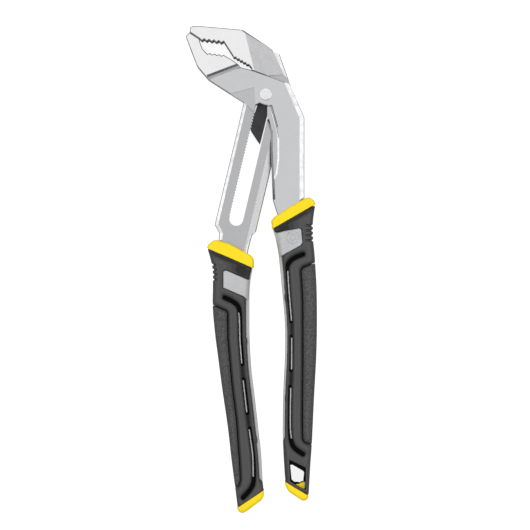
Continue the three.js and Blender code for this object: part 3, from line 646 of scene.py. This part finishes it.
def grip_rubber():
    """Soft matt rubber with dusty patches: a painted highlight on the ridges, a painted shade with
    weaker reflections in the deep valleys and grooves, and convex edges lighter, partly wear where
    hands and benches rub it and partly a painted highlight.
    """
    look = Look("grip_rubber")
    grain = look.noise(2600, 3)
    cloud = look.noise(70, 4)
    dusty = look.range(cloud, 0.42, 0.7, 0.0, 1.0)
    # Convex edges lighter: partly wear, partly a painted highlight.
    rubbed_sheen = look.math("MULTIPLY", look.edges(0.51, 0.60), 0.6)
    plain = look.blend(dusty, *PLAIN_RUBBER)
    sunk = look.node("Attribute", attribute_name="sunk").outputs["Fac"]
    # A painted highlight on the ridges, fading into the valleys.
    ridge = look.range(sunk, 0.0, RIDGE_DEPTH, 1.0, 0.0, smooth=True)
    worn_and_lit = look.blend(rubbed_sheen, look.blend(ridge, plain, RIDGE_HIGHLIGHT_RUBBER), RUBBED_SHEEN_RUBBER)
    # A painted shade in the deep valleys and grooves, with their reflections dimmed too.
    deep = look.range(sunk, DEEP_FROM, DEEP_TO, 0.0, 1.0, smooth=True)
    look.set("Base Color", look.blend(deep, worn_and_lit, DEEP_SHADE_RUBBER))
    look.set("Roughness", look.range(grain, 0.3, 0.7, 0.40, 0.54))
    look.set("Specular IOR Level", look.range(deep, 0.0, 1.0, 0.5, 0.05))
    look.set("Normal", look.bump(grain, 0.28, 0.06 * MM))
    return look.material


def pad_rubber():
    """Harder inlay with a fine pebbled texture."""
    look = Look("pad_rubber")
    cells = look.node("TexVoronoi", {"Vector": look.place, "Scale": 1050.0}, feature="F1")
    pebble = look.range(cells.outputs["Distance"], 0.1, 0.65, 1.0, 0.0, smooth=True)
    cloud = look.noise(90, 4)
    low = look.blend(cloud, *PAD_TONES)
    look.set("Base Color", look.blend(pebble, low, PEBBLE_TONE))
    look.set("Roughness", look.range(pebble, 0.0, 1.0, 0.75, 0.52))
    look.set("Normal", look.bump(pebble, 0.5, 0.12 * MM))
    return look.material


def core_plastic():
    look = Look("core_plastic")
    cloud = look.noise(120, 4)
    grain = look.noise(2400, 2)
    look.set("Base Color", look.blend(cloud, *CORE_TONES))
    look.set("Roughness", look.range(grain, 0.3, 0.7, 0.36, 0.48))
    look.set("Normal", look.bump(grain, 0.12, 0.04 * MM))
    return look.material


def yellow_plastic():
    look = Look("yellow_plastic")
    cloud = look.noise(160, 4)
    # Convex edges lighter: partly scuffing, partly a painted highlight.
    scuff_and_sheen = look.math("MULTIPLY", look.edges(0.505, 0.56), 0.35)
    plain = look.blend(cloud, *YELLOW_TONES)
    look.set("Base Color", look.blend(scuff_and_sheen, plain, SCUFFED_SHEEN_YELLOW))
    look.set("Roughness", look.range(look.noise(900, 3), 0.3, 0.7, 0.28, 0.42))
    look.set("Specular IOR Level", 0.32)
    look.set("Normal", look.bump(look.noise(1500, 2), 0.10, 0.05 * MM))
    return look.material


def floor_paint():
    look = Look("floor")
    cloud = look.noise(6, 3)
    look.set("Base Color", look.blend(cloud, *FLOOR_TONES))
    look.set("Roughness", 0.9)
    look.set("Emission Color", (1, 1, 1, 1))
    seen = look.node("LightPath").outputs["Is Camera Ray"]
    look.set("Emission Strength", look.math("MULTIPLY", seen, FLOOR_GLOW))
    return look.material


STEEL, PIN, PHOSPHATE = forged_steel(), pin_steel(), phosphated_steel()
RUBBER, PAD, CORE, YELLOW = grip_rubber(), pad_rubber(), core_plastic(), yellow_plastic()

# ---- Pieces ----

WELD_REACH = 0.001 * MM
FLAT_ANGLE = math.radians(1)
EDGE_WIDTH = 0.15 * MM
EDGE_ANGLE = math.radians(12)

NODE_LOOKS = {"slot_arm": STEEL, "pivot_arm": STEEL, "pivot_pin": PIN, "pin_washer": PIN,
              "pawl": PHOSPHATE, "pawl_spring": PIN}
for name in NODE_LOOKS:
    node = nodes[name]
    node.data.materials.clear()
    node.data.materials.append(NODE_LOOKS[name])
    node.modifiers.new("weld", "WELD").merge_threshold = WELD_REACH
    flat = node.modifiers.new("flat", "DECIMATE")
    flat.decimate_type = "DISSOLVE"
    flat.angle_limit = FLAT_ANGLE
    bevel = node.modifiers.new("bevel", "BEVEL")
    bevel.width = EDGE_WIDTH
    bevel.segments = 2
    bevel.limit_method = "ANGLE"
    bevel.angle_limit = EDGE_ANGLE

SIDES = (("left", LEFT, "slot_arm_body"), ("right", RIGHT, "pivot_arm_body"))
for prefix, side, body in SIDES:
    grip_space = Space(prefix + "_grip", GRIP_GRID)
    grip = grip_field(side, grip_space)
    core_space = Space(prefix + "_core", FINE_GRID)
    core = core_field(side, core_space)
    cap_space = Space(prefix + "_end_cap", FINE_GRID)
    cap = cap_field(side, cap_space)
    if side is RIGHT:
        grip = hang_cuts(grip_space, grip)
        core = rings(core_space, core)
        cap = join(cap, plate(TONGUE, TONGUE_HALF, cap_space, SLIT_RADIUS), PAD_RADIUS)
    pad_space = Space(prefix + "_pad", GRIP_GRID)
    collar_space = Space(prefix + "_collar", FINE_GRID)
    for part, space, field, mat, slot in (
            ("grip", grip_space, grip, RUBBER, "grip_rubber"),
            ("core", core_space, core, CORE, "core_plastic"),
            ("pad", pad_space, pad_field(side, pad_space), PAD, "pad_rubber"),
            ("collar", collar_space, collar_field(side, collar_space), YELLOW, "yellow_plastic"),
            ("end_cap", cap_space, cap, YELLOW, "yellow_plastic")):
        sunk = depth_in_blank(side, space) if part == "grip" else None
        piece = space.mesh(f"{prefix}_{part}_moulded", field, sunk)
        piece.data.materials.append(mat)
        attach(piece, body)
        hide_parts(f"{prefix}_{part}")

# ---- Stage ----

FLOOR_SIZE = 10
bpy.ops.mesh.primitive_plane_add(size=FLOOR_SIZE, location=(0, 0, 0))
floor = bpy.context.object
floor.name = "floor"
floor.data.materials.append(floor_paint())


# The sky's colour at each height, and the way to a black flag that the jaw's step mirrors.
SKY = [(0.0, (0.15, 0.15, 0.155)), (0.18, (0.52, 0.52, 0.53)), (0.5, (0.58, 0.58, 0.59)),
       (0.85, (1.0, 1.0, 1.0))]
FLAG = (0.307, -0.80, 0.515)
FLAG_SHADE = (("From Min", 0.87), ("From Max", 0.96), ("To Min", 1.05), ("To Max", 0.27))
SEEN_SKY = (0.92, 0.92, 0.92, 1)

# The softboxes: name, place, width and height, radiance. They aim at the middle of the floor.
SOFTBOXES = (("left", (-1.15, 0.15, 1.15), (1.9, 0.45), 1.7),
             ("right", (1.15, 0.15, 1.15), (1.9, 0.45), 1.7),
             ("head", (0, 1.3, 1.15), (1.9, 0.4), 1.9))


def studio():
    """A soft bright room: pale to look at, its light strongest overhead and falling to the horizon."""
    world = bpy.data.worlds.new("studio")
    bpy.context.scene.world = world
    world.use_nodes = True
    tree = world.node_tree
    sky = tree.nodes["Background"]
    up = tree.nodes.new("ShaderNodeSeparateXYZ")
    ways = tree.nodes.new("ShaderNodeTexCoord").outputs["Generated"]
    tree.links.new(ways, up.inputs[0])
    ramp = tree.nodes.new("ShaderNodeValToRGB")
    ramp.color_ramp.interpolation = "EASE"
    ramp.color_ramp.elements[0].color = (*SKY[0][1], 1)
    ramp.color_ramp.elements[1].color = (*SKY[-1][1], 1)
    ramp.color_ramp.elements[1].position = SKY[-1][0]
    for height, colour in SKY[1:-1]:
        ramp.color_ramp.elements.new(height).color = (*colour, 1)
    tree.links.new(up.outputs["Z"], ramp.inputs[0])
    toward = tree.nodes.new("ShaderNodeVectorMath")
    toward.operation = "DOT_PRODUCT"
    toward.inputs[1].default_value = FLAG
    tree.links.new(ways, toward.inputs[0])
    flag = tree.nodes.new("ShaderNodeMapRange")
    tree.links.new(toward.outputs["Value"], flag.inputs["Value"])
    for key, value in FLAG_SHADE:
        flag.inputs[key].default_value = value
    seen = tree.nodes.new("ShaderNodeLightPath").outputs["Is Camera Ray"]
    mixer = tree.nodes.new("ShaderNodeMix")
    mixer.data_type = "RGBA"
    tree.links.new(seen, mixer.inputs[0])
    tree.links.new(ramp.outputs[0], mixer.inputs[6])
    mixer.inputs[7].default_value = SEEN_SKY
    tree.links.new(mixer.outputs[2], sky.inputs[0])
    either = tree.nodes.new("ShaderNodeMath")
    either.operation = "MAXIMUM"
    tree.links.new(seen, either.inputs[0])
    tree.links.new(flag.outputs["Result"], either.inputs[1])
    tree.links.new(either.outputs[0], sky.inputs[1])


def softbox(name, place, size, radiance):
    data = bpy.data.lights.new(name, "AREA")
    data.shape = "RECTANGLE"
    data.size, data.size_y = size
    data.energy = radiance * math.pi * size[0] * size[1]
    lamp = bpy.data.objects.new(name, data)
    bpy.context.scene.collection.objects.link(lamp)
    lamp.location = place
    lamp.rotation_mode = "QUATERNION"
    lamp.rotation_quaternion = (-Vector(place)).to_track_quat("-Z", "Y")


studio()
bpy.context.scene.view_settings.view_transform = "Standard"
for name, place, size, radiance in SOFTBOXES:
    softbox(name, place, size, radiance)

cam_data = bpy.data.cameras.new("camera")
cam = bpy.data.objects.new("camera", cam_data)
bpy.context.scene.collection.objects.link(cam)
WIDTH = 326 * MM        # of the view, at the tool's middle plane
DISTANCE = 1.6
SENSOR = 36
cam_data.sensor_width = SENSOR
cam_data.lens = SENSOR * DISTANCE / WIDTH
cam.location = Vector((8.3 * MM, 2.8 * MM, ORIGIN.z + DISTANCE))
bpy.context.scene.camera = cam
